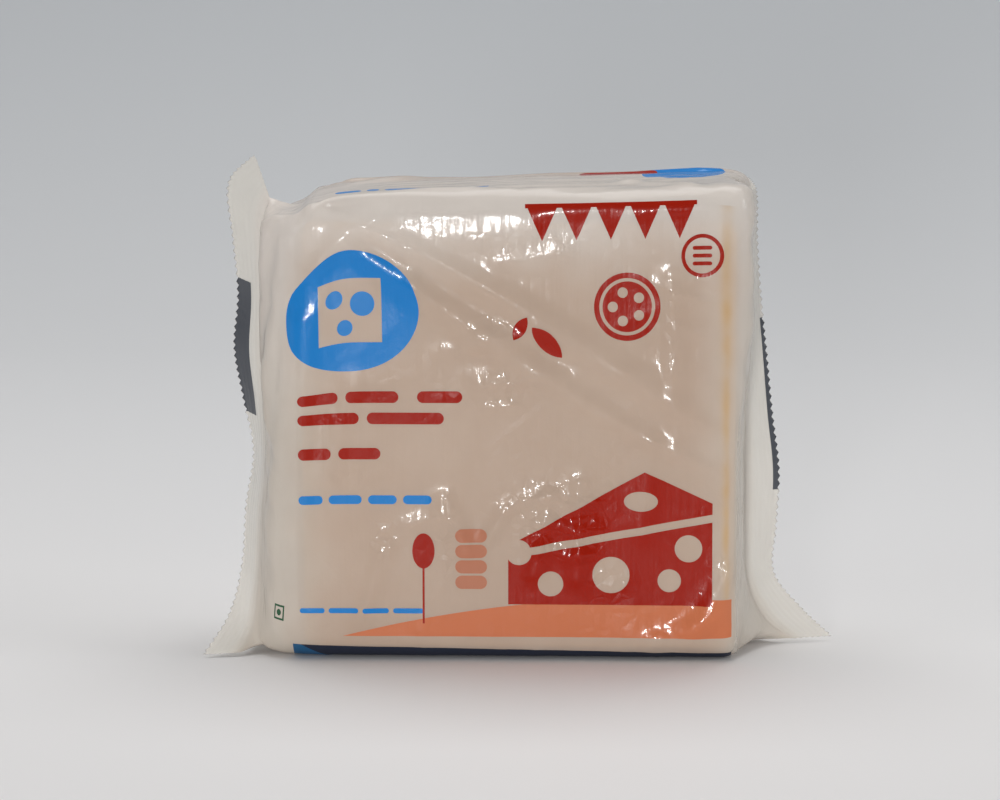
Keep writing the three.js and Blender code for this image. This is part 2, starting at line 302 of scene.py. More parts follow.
# The larger folds of the front film: both ends, crest height and half width, all in millimetres
FRONT_FOLDS = [
    ((-37, 77), (-24, 85), 0.7, 2.2), ((-40, 67), (-41, 27), 0.5, 2.5), ((34, 5), (41, 17), 0.8, 2.2),
    ((27, 4), (39, 9), 0.6, 2.2), ((-29, 8), (-24, 22), 0.45, 1.5), ((30.4, 73), (30.8, 40), 0.5, 1.6),
    ((-7, 54), (30, 55.5), 0.3, 2.0), ((-2, 76), (10, 77.5), 0.4, 2.0), ((-6, 61), (4, 62.5), 0.6, 2.2),
    ((4, 17), (6.5, 32), 0.7, 1.7), ((12, 16), (12.5, 34), 0.7, 1.7), ((-9, 21), (-13, 31), 0.55, 1.8),
    ((-20, 26), (-14, 28), 0.4, 1.8), ((-20, 80), (4, 82), 0.3, 2.5), ((-13, 59), (-8, 60), 0.25, 1.6),
    ((-18, 71), (-19.5, 78), 0.4, 1.6), ((24, 25), (26, 42), 0.4, 2.2), ((-36, 35), (-30, 53), 0.3, 2.5),
    ((-44.5, 75), (-45, 52), 0.25, 0.8), ((20, 100), (34, 92), 0.5, 1.5), ((-25, 93), (0, 91), 0.3, 1.2),
    ((2, 31), (8, 32), 0.4, 1.3), ((3, 27), (9, 26.4), 0.4, 1.2), ((9.5, 30), (15, 31), 0.4, 1.3),
    ((10, 25), (16, 25.6), 0.4, 1.2), ((3, 22), (8, 21.4), 0.4, 1.2), ((10, 20), (15, 20.7), 0.4, 1.2),
    ((-6, 52), (2, 53.4), 0.35, 1.3), ((-5, 48.6), (0, 49), 0.3, 1.1), ((-4.5, 24), (-1.5, 29), 0.5, 1.5),
]

# Columns of the mesh: along the stack, over its slack ends and over the seals
BLOCK_COLUMNS = 40
END_COLUMNS = 11
SEAL_COLUMNS = 12
ROWS = 4 * TEETH


def line_at(points, share):
    """The smooth line through points at shares of its length, as an array with a row for each share."""
    points = np.array(points, float) * MM
    ends = [2 * points[0] - points[1]], [2 * points[-1] - points[-2]]
    around = np.concatenate([ends[0], points, ends[1]])
    place = np.clip(share, 0, 1) * (len(points) - 1)
    first = np.minimum(place.astype(int), len(points) - 2)
    t = (place - first)[:, None]
    a, b, c, d = (around[first + step] for step in range(4))
    return 0.5 * (2 * b + (c - a) * t + (2 * a - 5 * b + 4 * c - d) * t ** 2 + (3 * b - a - 3 * c + d) * t ** 3)


def fold_height(x, z):
    """Height of the larger folds at places on the front film."""
    height = np.zeros_like(x)
    for start, end, crest, half_width in FRONT_FOLDS:
        x0, z0 = (value * MM for value in start)
        x1, z1 = (value * MM for value in end)
        along = ((x - x0) * (x1 - x0) + (z - z0) * (z1 - z0)) / ((x1 - x0) ** 2 + (z1 - z0) ** 2)
        along = np.clip(along, 0, 1)
        away = np.hypot(x - x0 - along * (x1 - x0), z - z0 - along * (z1 - z0))
        height += crest * MM * np.exp(-((away / (half_width * MM)) ** 2))
    return height


def creases(x, z, count, seed):
    """Height of many short sharp creases, at places on the web."""
    height = np.zeros_like(x)
    choose = random.Random(seed)
    for _ in range(count):
        x0 = choose.uniform(-SEAL_START, SEAL_START)
        z0 = choose.uniform(-2 * HALF_SEAL, 2 * HALF_SEAL)
        turn = choose.gauss(math.pi / 2, 0.9)
        length = choose.uniform(3, 13) * MM
        width = choose.uniform(0.5, 1.6) * MM
        crest = choose.uniform(0.03, 0.13) * MM * choose.choice((1, 1, -0.6))
        bend = choose.uniform(-0.04, 0.04) / MM
        s = (x - x0) * math.cos(turn) + (z - z0) * math.sin(turn)
        d = (z - z0) * math.cos(turn) - (x - x0) * math.sin(turn) + bend * s * s
        height += crest * np.exp(-np.abs(d) / width) * np.exp(-((s / length) ** 2))
    return height


def section(x, q, side, inset):
    """Points of the wrapped stack. q is the distance along the film from the middle of the front or back
    panel, up and over or down and under, side is -1 at the front and 1 at the back."""
    m = np.abs(q)
    turn = np.clip((m - FLAT_RUN) / LONG_EDGE, 0, math.pi / 2)
    depth = HALF_DEPTH - LONG_EDGE * (1 - np.cos(turn))
    depth = np.where(m > FLAT_RUN + EDGE_RUN, np.maximum(HALF_SEAL - m, 0), depth)
    height = np.where(m > FLAT_RUN, FLAT_RUN + LONG_EDGE * np.sin(turn), m)
    across = np.maximum(1 - (q / (FLAT_RUN + EDGE_RUN)) ** 2, 0)
    along = np.maximum(1 - (x / HALF_WIDTH) ** 2, 0)
    waves_x = x / RIPPLE_PITCH_X + RIPPLE_SLANT * q / RIPPLE_PITCH_Z
    waves_z = q / RIPPLE_PITCH_Z - RIPPLE_SLANT * x / RIPPLE_PITCH_X
    ripple = np.sin(2 * math.pi * waves_x + side) * np.sin(2 * math.pi * waves_z + 2 * side)
    fade = np.minimum(1, 4 * across)
    relief = PANEL_BULGE * across * along + RIPPLE_HEIGHT * np.maximum(ripple, -0.5) * fade
    lap = LAP_HEIGHT * (1 - smoothstep(np.abs(q), LAP_WIDTH / 2, LAP_WIDTH / 2 + LAP_EDGE))
    relief = relief + np.where(side > 0, lap, 0)
    y = side * (depth * (1 - inset / HALF_DEPTH) + relief)
    upright = height * (1 - inset / HALF_HEIGHT)
    stretch = (top_height(x) - HALF_HEIGHT) / HALF_HEIGHT
    wave = np.where(m > FLAT_RUN, TOP_WAVE_HEIGHT * (1 - (depth / HALF_DEPTH) ** 2), 0)
    wave = wave * (1 + np.sin(2 * math.pi * x / TOP_WAVE_PITCH))
    z = np.where(q < 0, HALF_HEIGHT - upright, HALF_HEIGHT + upright * stretch + wave)
    return np.stack([x + 0 * q, y, z], axis=-1)


def seal_points(meeting, cut, outward, q, side, reach):
    """Points of an end seal: reach 0 is where the plies meet and 1 is the cut edge."""
    share = (q / HALF_SEAL + 1) / 2
    inner = line_at(meeting, share)
    outer = line_at(cut, share)
    tangent = line_at(cut, share + 0.01) - line_at(cut, share - 0.01)
    across = outer - inner
    normal = np.cross(tangent, across)
    normal /= np.maximum(np.linalg.norm(normal, axis=1), 1e-9)[:, None]
    normal *= np.where(normal[:, 1] < 0, -1, 1)[:, None]
    taper = np.clip((HALF_SEAL - np.abs(q)) / TIP_TAPER, 0, 1)
    pressed = SEAL_PLY / 2 * (1 - reach ** 6)
    points = inner + across * reach + normal * (side * pressed * taper)[:, None]
    points[:, 0] = outward * (HALF_WIDTH + points[:, 0])
    return points


def end_lines(outward):
    """The two lines of the left or the right seal."""
    return (LEFT_MEETING, LEFT_CUT) if outward < 0 else (RIGHT_MEETING, RIGHT_CUT)


def slack_end(outward, q, side, share):
    """Points of the slack film at an end. It runs on past the stack, swells out and turns in to the seal,
    along a curve with two control points between its ends."""
    meeting, cut = end_lines(outward)
    start = section(np.full_like(q, outward * (HALF_WIDTH - END_EDGE)), q, side, 0)
    end = seal_points(meeting, cut, outward, q, side, 0.0)
    fade = np.clip((HALF_SEAL - np.abs(q)) / PUCKER_PITCH, 0, 1)
    if outward > 0:
        fade = fade * (RIGHT_LOW_SHARE + (1 - RIGHT_LOW_SHARE) * smoothstep(q, -5 * MM, 25 * MM))
    near_stack = start.copy()
    near_stack[:, 0] += outward * RUN_ON * fade
    near_seal = end.copy()
    near_seal[:, 0] += outward * SWELL * fade
    near_seal[:, 1] += side * TURN_IN * fade
    if outward < 0:
        lead = (LEFT_LEAD * fade)[:, None] * (seal_points(meeting, cut, outward, q, side, 1.0) - end)
        low_front = np.where(side < 0, 1 - smoothstep(q, -12 * MM, 8 * MM), 0)[:, None]
        near_seal += low_front * (end - lead - near_seal)
    rest = 1 - share
    points = rest ** 3 * start + share ** 3 * end
    points += 3 * rest ** 2 * share * near_stack + 3 * rest * share ** 2 * near_seal
    pucker = np.sin(2 * math.pi * (q / PUCKER_PITCH + share * side)) * math.sin(math.pi * share)
    points[:, 0] += outward * PUCKER_HEIGHT * pucker * fade
    return points


def column_points(column, q, side):
    """The points of one ring of the film and how far along the web it is. Columns count from the middle
    of the stack: negative to the left seal and positive to the right one."""
    outward = -1 if column < 0 else 1
    step = abs(column)
    half_block = BLOCK_COLUMNS // 2
    reach = HALF_WIDTH - END_EDGE
    if step <= half_block:
        x = outward * reach * step / half_block
        return section(np.full_like(q, x), q, side, 0), x
    step -= half_block
    end_run = END_EDGE * math.pi / 2 + HALF_DEPTH
    if step < END_COLUMNS:
        share = step / END_COLUMNS
        return slack_end(outward, q, side, share), outward * (reach + end_run * share)
    share = (step - END_COLUMNS) / SEAL_COLUMNS
    points = seal_points(*end_lines(outward), outward, q, side, share)
    return points, outward * (reach + end_run + SEAL_WIDTH * share)


def film_shape():
    """The film as a closed pouch from a grid: one way along the web, the other round the tube. The web
    map keeps where each place was on the flat web, in millimetres from the middle of the front."""
    half = BLOCK_COLUMNS // 2 + END_COLUMNS + SEAL_COLUMNS
    shape = bmesh.new()
    bmesh.ops.create_grid(shape, x_segments=2 * half, y_segments=ROWS, size=1)
    round_web = np.linspace(-2 * HALF_SEAL, 2 * HALF_SEAL, ROWS + 1)
    side = np.where(np.abs(round_web) <= HALF_SEAL, -1, 1)
    q = np.where(side < 0, round_web, np.sign(round_web) * (2 * HALF_SEAL) - round_web)
    rings = [column_points(column, q, side) for column in range(-half, half + 1)]
    web = shape.loops.layers.uv.new("web")
    for vert in shape.verts:
        column = round((vert.co.x + 1) * half)
        row = round((vert.co.y + 1) * ROWS / 2)
        points, along = rings[column]
        vert.co = points[row]
        for loop in vert.link_loops:
            loop[web].uv = (along / MM, round_web[row] / MM)
    bmesh.ops.remove_doubles(shape, verts=shape.verts, dist=0.01 * MM)
    bmesh.ops.dissolve_degenerate(shape, dist=0.001 * MM, edges=shape.edges)
    bmesh.ops.recalc_face_normals(shape, faces=shape.faces)
    return shape


# The print
# It is drawn on the flat web in millimetres from the middle of the front panel, as plain shapes in red,
# orange, blue and navy inks, without any words. The navy band along the foot is painted shade, with
# blue print darkened as in shade at its left end.
TOUCHING_COLOUR = (0.58, 0.44, 0.35, 1)
SLACK_COLOUR = (0.64, 0.56, 0.48, 1)
# painted light: the lighter colour that the slack film is painted towards the top
TOP_LIGHT_COLOUR = (0.84, 0.765, 0.70, 1)
PANEL_ALPHA = 0.74
SEAL_ALPHA = 0.5  # of each ply
SEAL_COLOUR = (0.80, 0.76, 0.69, 1)
INK_AND_FOOT_SHADE_ALPHA = 0.985
BLUE_INK = (0.013, 0.215, 0.60, 1)
# painted shade along the foot: blue print darkened as in shade at its left end, and navy elsewhere
FOOT_BLUE_INK_IN_SHADE = (0.02, 0.10, 0.22, 1)
RED_INK = (0.35, 0.010, 0.001, 1)
ORANGE_INK = (0.63, 0.19, 0.085, 1)
PALE_INK = (0.50, 0.20, 0.12, 1)
FOOT_SHADE_NAVY = (0.02, 0.025, 0.045, 1)
STRIP_INK = (0.08, 0.086, 0.10, 1)
CUT_EDGE_COLOUR = (0.72, 0.46, 0.20, 1)
GREEN_INK = (0.03, 0.10, 0.05, 1)
FRONT_FOOT = -HALF_HEIGHT / MM  # the height on the web of the pack's foot
BACK_MIDDLE = 2 * HALF_SEAL / MM
PRINT_RISE = 1.6  # the web isn't quite centred on the pack
TOMATO = (22, 66)

# Where the front film is finely crinkled and where it is smooth: the middle and the reach each way in
# millimetres, and how strongly
CRINKLED = [
    ((8, 25), (8, 7), 1.15), ((-2, 51), (4, 3), 1.0), ((-1, 78), (7, 2), 0.8), ((10, 78), (4, 3), 0.8),
    ((-4, 62.5), (4, 2), 0.9), ((-12.5, 21), (2, 7), 1.1), ((30, 63), (2, 6), 0.9), ((18, 14), (4, 3), 1.2),
    ((-24, 21), (2.5, 4), 1.1),
]
SMOOTH = [((-30.6, 65), (14, 12), 1.0), ((19, 83), (18, 5), 0.9), (TOMATO, (7, 7), 0.9), ((28, 22), (6, 8), 0.6)]


class Field:
    """A number at each place of the film, worked out by Math nodes."""

    def __init__(self, tree, socket):
        self.tree = tree
        self.socket = socket

    def maths(self, operation, *others):
        made = self.tree.nodes.new("ShaderNodeMath")
        made.operation = operation
        for slot, value in zip(made.inputs, (self, *others)):
            if isinstance(value, Field):
                self.tree.links.new(value.socket, slot)
            else:
                slot.default_value = value
        return Field(self.tree, made.outputs[0])

    def __add__(self, other):
        return self.maths("ADD", other)

    def __sub__(self, other):
        return self.maths("SUBTRACT", other)

    def __mul__(self, other):
        return self.maths("MULTIPLY", other)

    def __truediv__(self, other):
        return self.maths("DIVIDE", other)

    def __or__(self, other):
        return self.maths("MAXIMUM", other)

    def __and__(self, other):
        return self.maths("MINIMUM", other)

    def inside(self, edge=0.0):
        return self.maths("LESS_THAN", edge)

    def without(self, other):
        return self.maths("SUBTRACT", other).maths("MAXIMUM", 0)

    def size(self):
        return self.maths("ABSOLUTE")


def oval(x, z, middle, radius):
    """1 inside an oval, 0 outside it."""
    dx = (x - middle[0]) / radius[0]
    dz = (z - middle[1]) / radius[1]
    return (dx * dx + dz * dz).inside(1.0)


def disc(x, z, middle, radius):
    return oval(x, z, middle, (radius, radius))


def bar(x, z, left, right, middle, height):
    """1 inside a bar with round ends."""
    radius = height / 2
    dx = ((x - (left + right) / 2).size() - ((right - left) / 2 - radius)).maths("MAXIMUM", 0)
    dz = z - middle
    return (dx * dx + dz * dz).inside(radius * radius)


def block(x, z, left, right, foot, top):
    """1 inside an upright rectangle."""
    dx = (x - (left + right) / 2).size() - (right - left) / 2
    dz = (z - (foot + top) / 2).size() - (top - foot) / 2
    return (dx | dz).inside()


def below(x, z, foot, slope, bend=0.0):
    """1 below a line through (0, foot), which may be bent."""
    return (z - x * slope - x * x * bend).inside(foot)


def near(x, z, middle, reach):
    """1 at a place, falling softly to 0 away from it."""
    dx = (x - middle[0]) / reach[0]
    dz = (z - middle[1]) / reach[1]
    return ((dx * dx + dz * dz) * -1).maths("EXPONENT")


def row_of_bars(x, z, spans, middle, height):
    """A row of bars, from a list of their left and right ends."""
    bars = [bar(x, z, left, right, middle, height) for left, right in spans]
    row = bars[0]
    for other in bars[1:]:
        row = row | other
    return row


def film_material():
    material, tree, shader = start_material("milky_film")
    web = add_node(tree, "ShaderNodeUVMap", uv_map="web").outputs[0]
    parts = add_node(tree, "ShaderNodeSeparateXYZ", {0: web})
    x = Field(tree, parts.outputs[0])
    around = Field(tree, parts.outputs[1])
    z = around - FRONT_FOOT - PRINT_RISE
    back = around.size().maths("MULTIPLY", -1) + BACK_MIDDLE  # distance from the middle of the back

    # Upper left badge and the bars under it
    icon = block(x, z, -36.6, -24.4, 59.2, 71.2).without(
        disc(x, z, (-33.4, 67.6), 1.7) | disc(x, z, (-28, 66.4), 2.3) | disc(x, z, (-31.4, 62), 1.5))
    badge = oval(x, z, (-30.6, 65.2), (13.2, 11.4)).without(icon)
    small_blue = row_of_bars(x, z, [(-41, -36.2), (-35, -28.6), (-27.4, -22), (-20.8, -15.4)], 29.4, 1.7)
    foot_blue = row_of_bars(x, z, [(-41, -36), (-35.2, -29.4), (-28.6, -23.6), (-22.8, -17)], 8, 1.0)
    red_bars = row_of_bars(x, z, [(-41, -33), (-31.5, -21.5), (-18, -9.5)], 48.9, 2.2)
    red_bars = red_bars | row_of_bars(x, z, [(-41, -29), (-27.5, -13)], 44.9, 2.2)
    red_bars = red_bars | row_of_bars(x, z, [(-41, -34.5), (-33, -25)], 38.2, 2.2)

    # A wedge of cheese with holes on an orange hill
    hill = below(x, z, 9.2, 0.12, -0.0021) & block(x, z, -34, 42.5, 3.1, 20)
    cut_face = block(x, z, -1, 37.5, 9.4, 30) & below(x, z, 18.4, 0.19)
    top_face = below(x, z, 21.2, 0.56) & below(x, z, 46.4, -0.46) & block(x, z, -1, 37.5, 8, 40)
    top_face = top_face.without(below(x, z, 19.9, 0.19))
    holes = (disc(x, z, (7, 13.4), 2.4) | disc(x, z, (18.4, 15.2), 3.5) | disc(x, z, (29.4, 14.2), 2.2)
             | disc(x, z, (33, 20.4), 2.6) | oval(x, z, (24, 29.4), (3.2, 1.9)) | disc(x, z, (1, 19.4), 2.4))
    wedge = (cut_face | top_face).without(holes)

    # Small red motifs at the upper right
    tomato = disc(x, z, TOMATO, 6.2).without(disc(x, z, TOMATO, 5.2).without(disc(x, z, TOMATO, 4.6)))
    for number in range(5):
        turn = math.pi * (2 * number + 1) / 5
        seed = TOMATO[0] + 2.7 * math.cos(turn), TOMATO[1] + 2.7 * math.sin(turn)
        tomato = tomato.without(disc(x, z, seed, 0.95))
    leaf = disc(x, z, (4, 57), 5.5) & disc(x, z, (9.6, 62), 5.5)
    leaf = leaf | (disc(x, z, (-0.5, 63.4), 3.8) & disc(x, z, (4, 60.6), 3.8))
    pennants = block(x, z, 3, 35, 84.2, 85)
    for number in range(5):
        middle = 6.2 + 6.4 * number
        pennant = below(x, z, 84.6 - 0.5 * 0, 0) & ((x - middle).size() * 2.2 - z).inside(-78.2)
        pennants = pennants | (pennant & block(x, z, 0, 38, 77, 84.6))
    ring = disc(x, z, (36, 75), 3.9).without(disc(x, z, (36, 75), 3.2))
    for number in range(3):
        ring = ring | bar(x, z, 34.2, 37.8, 73.6 + 1.4 * number, 0.7)
    sprig = oval(x, z, (-17, 19.6), (2.1, 3.4)) | block(x, z, -17.2, -16.8, 5.6, 17)
    pale_stack = bar(x, z, -11, -5, 13.6, 2.6)
    for number in range(1, 4):
        pale_stack = pale_stack | bar(x, z, -11, -5, 13.6 + 3 * number, 2.6)
    red = red_bars | wedge | tomato | leaf | pennants | ring | sprig

    # Green square, top panel, the painted shade along the foot, and back
    green = block(x, z, -47.6, -44.6, 5.6, 8.6).without(block(x, z, -47.2, -45, 6, 8.2))
    green = green | disc(x, z, (-46.1, 7.1), 0.65)
    top_dashes = row_of_bars(x, z, [(-33, -28), (-27, -24.6), (-23.6, -12), (-11, -4)], 96, 2.2)
    top_badge = oval(x, z, (33, 109), (8, 7))
    top_red = bar(x, z, 13, 28, 112, 3)
    # Painted shade: a dark navy band along the foot stands for the shadow under the pack; at its left end it is blue
    # print, darkened as in shade.
    foot_shade_band = block(x, z, -42.5, 42.5, -22, 4) & below(x, z, 0.4, -0.02)
    foot_end = foot_shade_band & (x + z * 1.5).inside(-39)
    back_badge = oval(x, back, (26, 24), (10, 8))
    back_lines = row_of_bars(x, back, [(-28, -8), (-6, 12)], 30, 1.4) | bar(x, back, -28, 4, 26, 1.4)
    back_lines = back_lines | bar(x, back, -28, 10, 22, 1.4) | bar(x, back, -28, -2, 18, 1.4)
    on_back = around.size().maths("GREATER_THAN", HALF_SEAL / MM)
    blue = badge | small_blue | foot_blue | top_dashes | top_badge | ((back_badge | back_lines) & on_back)
    red = red | top_red

    # Dark strips printed across the ends of the web
    strips = block(x, z, -90, -65.2, 40, 70) | block(x, z, 67.9, 90, 27, 62)

    # The film between the inks takes the colour of the cheese where it lies against it
    touching = (x - 0.8).size() - 42
    touching = touching | (((around + 7.5).size() - 42.5) & (back - 50))
    drift = noise_at(tree, web, 0.09, detail=2)
    edge = touching + Field(tree, drift) * 9
    soft = add_node(tree, "ShaderNodeMapRange", {"Value": edge.socket, "From Min": -6.0, "From Max": 11.0},
                    interpolation_type="SMOOTHSTEP")
    place = add_node(tree, "ShaderNodeTexCoord").outputs["Object"]
    haze = noise_at(tree, place, 45, detail=3)
    slack = mixed(tree, haze, SLACK_COLOUR, (0.72, 0.65, 0.56, 1))
    # Painted light: the slack film is painted lighter towards the top, as if lit from above.
    painted_top_light = add_node(tree, "ShaderNodeMapRange", {"Value": z.socket, "From Min": 40.0, "From Max": 84.0})
    slack = mixed(tree, painted_top_light.outputs[0], slack, TOP_LIGHT_COLOUR)
    warm = mixed(tree, haze, TOUCHING_COLOUR, (0.66, 0.52, 0.42, 1))
    colour = mixed(tree, soft.outputs[0], warm, slack)
    sealed = Field(tree, add_node(tree, "ShaderNodeMapRange", {
        "Value": x.size().socket, "From Min": SEAL_START / MM - 1,
        "From Max": SEAL_START / MM + 3}).outputs[0])
    lap = back.inside(LAP_WIDTH / 2 / MM)
    # Painted light: the slack film at the right end is painted lighter, nearly the seal's colour, so that it reads as
    # lit; the left end keeps its darker slack colour.
    right_end_painted_light = near(x, z, (52, 50), (8, 60))
    colour = mixed(tree, (sealed | lap * 0.4 | right_end_painted_light * 0.6).socket, colour, SEAL_COLOUR)
    cut_edge = near(x, z, (40.4, 45), (1.1, 60)) & block(x, z, 37, 44, 7, 84)
    uneven = add_node(tree, "ShaderNodeMapRange", {
        "Value": noise_at(tree, web, 0.12), "From Min": 0.3, "From Max": 0.7, "To Min": 0.25, "To Max": 0.9})
    cut_edge = cut_edge * Field(tree, uneven.outputs[0])
    colour = mixed(tree, cut_edge.socket, colour, CUT_EDGE_COLOUR)
    inks_and_foot_shade = ((hill, ORANGE_INK), (pale_stack, PALE_INK), (blue, BLUE_INK), (red, RED_INK),
            (green, GREEN_INK), (strips, STRIP_INK), (foot_shade_band, FOOT_SHADE_NAVY), (foot_end, FOOT_BLUE_INK_IN_SHADE))
    covered = hill
    for mask, ink in inks_and_foot_shade:
        colour = mixed(tree, mask.socket, colour, ink)
        covered = covered | mask
    tree.links.new(colour, shader.inputs["Base Color"])
    milky = add_node(tree, "ShaderNodeMapRange", {"Value": haze, "To Min": -0.07, "To Max": 0.07})
    alpha = Field(tree, milky.outputs[0]) + PANEL_ALPHA + sealed * (SEAL_ALPHA - PANEL_ALPHA)
    alpha = alpha | covered * INK_AND_FOOT_SHADE_ALPHA
    tree.links.new(alpha.socket, shader.inputs["Alpha"])
    gloss = add_node(tree, "ShaderNodeMapRange", {"Value": haze, "To Min": 0.17, "To Max": 0.3})
    # The painted shade band along the foot is rougher, so that it stays dark.
    dull = Field(tree, gloss.outputs[0]) | foot_shade_band * 0.6
    tree.links.new(dull.socket, shader.inputs["Roughness"])
    shader.inputs["Specular IOR Level"].default_value = 0.12
    shader.inputs["Coat Weight"].default_value = 0.3
    shader.inputs["Coat Roughness"].default_value = 0.06

    # Fine relief in millimetres: faceted crinkles in patches, streaks down the web and a light grain
    drawn = add_node(tree, "ShaderNodeVectorMath",
                     {0: web, 1: add_node(tree, "ShaderNodeTexNoise", {"Vector": web, "Scale": 0.3}).outputs[1]},
                     operation="ADD").outputs[0]
    facets = Field(tree, add_node(tree, "ShaderNodeTexVoronoi", {"Vector": drawn, "Scale": 0.32},
                                  feature="DISTANCE_TO_EDGE").outputs["Distance"])
    patches = add_node(tree, "ShaderNodeMapRange",
                       {"Value": noise_at(tree, web, 0.07), "From Min": 0.5, "From Max": 0.7, "To Max": 0.4})
    placed = add_node(tree, "ShaderNodeAttribute", attribute_name="crinkled").outputs["Fac"]
    evened = add_node(tree, "ShaderNodeAttribute", attribute_name="smooth").outputs["Fac"]
    crinkled = (Field(tree, patches.outputs[0]) | Field(tree, placed)) * (Field(tree, evened) * -1 + 1)
    stretched = add_node(tree, "ShaderNodeCombineXYZ", {0: (x * 0.7).socket, 1: (around * 0.06).socket})
    streaks = Field(tree, noise_at(tree, stretched.outputs[0], 1.0, detail=2))
    grain = Field(tree, noise_at(tree, web, 1.3, detail=2))
    relief = facets * (crinkled * 0.46 + 0.03) + streaks * (crinkled * 0.08 + 0.07) + grain * 0.02 + lap * 0.15
    bump = add_node(tree, "ShaderNodeBump", {"Height": relief.socket, "Strength": 1.0, "Distance": MM})
    tree.links.new(bump.outputs[0], shader.inputs["Normal"])
    tree.links.new(bump.outputs[0], shader.inputs["Coat Normal"])
    return material


# The film is a little longer each way than the stack needs, so it buckles as it settles
SIM_SCALE = 20
SIM_FRAMES = 30
SLACK = 0.015
SETTLED_SHARE = 0.85  # how far the film goes from its first shape to the settled one
END_SHARE = 0.35  # the same at the slack ends
BODY_GAP = 0.25 * MM
FOLD_FADE = 4 * MM
CREASE_COUNT = 420
FLOOR_CONTACT = 0.03 * MM  # the film is pressed flat on the floor


def stack_body():
    """The stack as the film feels it: a block with round edges whose top rises and slopes."""
    body = bmesh.new()
    size = Matrix.Diagonal((STACK_WIDTH - 2 * BODY_GAP, STACK_DEPTH - 2 * BODY_GAP, 1, 1))
    bmesh.ops.create_cube(body, size=1, matrix=size)
    for cut in range(1, 24):
        place = Vector((STACK_WIDTH * (cut / 24 - 0.5), 0, 0))
        parts = body.verts[:] + body.edges[:] + body.faces[:]
        bmesh.ops.bisect_plane(body, geom=parts, plane_co=place, plane_no=(1, 0, 0))
    for vert in body.verts:
        top = float(top_height(vert.co.x)) - BODY_GAP
        vert.co.z = top if vert.co.z > 0 else BODY_GAP
    ends = [e for e in body.edges if abs(abs(e.verts[0].co.x) - HALF_WIDTH) < MM
            and abs(abs(e.verts[1].co.x) - HALF_WIDTH) < MM]
    lengths = [e for e in body.edges if len(e.link_faces) == 2 and e.calc_face_angle(0) > 1.3
               and abs(e.verts[0].co.x - e.verts[1].co.x) > MM]
    bmesh.ops.bevel(body, geom=lengths, offset=LONG_EDGE - MM, segments=5, profile=0.5, affect="EDGES", material=-1)
    rims = [e for e in body.edges if len(e.link_faces) == 2 and e.calc_face_angle(0) > 1.3
            and abs(abs(e.verts[0].co.x) - HALF_WIDTH) < MM]
    bmesh.ops.bevel(body, geom=rims, offset=END_EDGE - 0.5 * MM, segments=4, profile=0.5, affect="EDGES", material=-1)
    return body


def settle(shape):
    """Lets the film settle on the stack in a cloth simulation, with its seals held. It runs at a larger
    scale, because contact there is closer than the least distance that the simulation takes."""
    film = make_piece("settling_film", shape, None)
    body = make_piece("settling_body", stack_body(), None)
    held = film.vertex_groups.new(name="held")
    web = film.data.uv_layers["web"].uv
    for loop in film.data.loops:
        past = abs(web[loop.index].vector.x) - SEAL_START / MM
        if past > -1.5:
            held.add([loop.vertex_index], min(1, (past + 1.5) / 1.5), "REPLACE")
    for piece in (film, body):
        piece.data.transform(Matrix.Scale(SIM_SCALE, 4))
    body.modifiers.new("contact", "COLLISION")
    body.collision.thickness_outer = 0.002
    body.collision.cloth_friction = 2
    cloth = film.modifiers.new("cloth", "CLOTH")
    settings = cloth.settings
    settings.quality = 6
    settings.mass = 0.3
    settings.tension_stiffness = settings.compression_stiffness = 40
    settings.shear_stiffness = 20
    settings.bending_stiffness = 0.6
    settings.vertex_group_mass = "held"
    settings.pin_stiffness = 1
    settings.shrink_min = -SLACK
    settings.use_pressure = True
    settings.uniform_pressure_force = -0.4
    settings.effector_weights.gravity = 0
    cloth.collision_settings.distance_min = 0.003
    cloth.collision_settings.collision_quality = 3
    for moment in range(1, SIM_FRAMES + 1):
        bpy.context.scene.frame_set(moment)
    settled = film.evaluated_get(bpy.context.evaluated_depsgraph_get())
    places = np.empty(3 * len(film.data.vertices))
    settled.data.vertices.foreach_get("co", places)
    moved = places.reshape(-1, 3) / SIM_SCALE
    result = bmesh.new()
    result.from_mesh(film.data)
    for vert, place in zip(result.verts, moved):
        start = vert.co / SIM_SCALE
        backed = float(smoothstep(start.x, -HALF_WIDTH, SHOULDER_LENGTH - HALF_WIDTH)
                       * (1 - smoothstep(start.x, HALF_WIDTH - 6 * MM, HALF_WIDTH + MM)))
        vert.co = start.lerp(Vector(place), END_SHARE + (SETTLED_SHARE - END_SHARE) * backed)
    bpy.context.scene.frame_set(1)
    bpy.data.objects.remove(film)
    bpy.data.objects.remove(body)
    return result


def places_on_web(mesh):
    """Where each vertex was on the flat web, in metres, as two arrays."""
    flat = np.empty(2 * len(mesh.loops), np.float32)
    mesh.uv_layers["web"].uv.foreach_get("vector", flat)
    corners = np.empty(len(mesh.loops), np.int32)
    mesh.loops.foreach_get("vertex_index", corners)
    places = np.zeros((len(mesh.vertices), 2))
    places[corners] = flat.reshape(-1, 2)
    return places[:, 0] * MM, places[:, 1] * MM


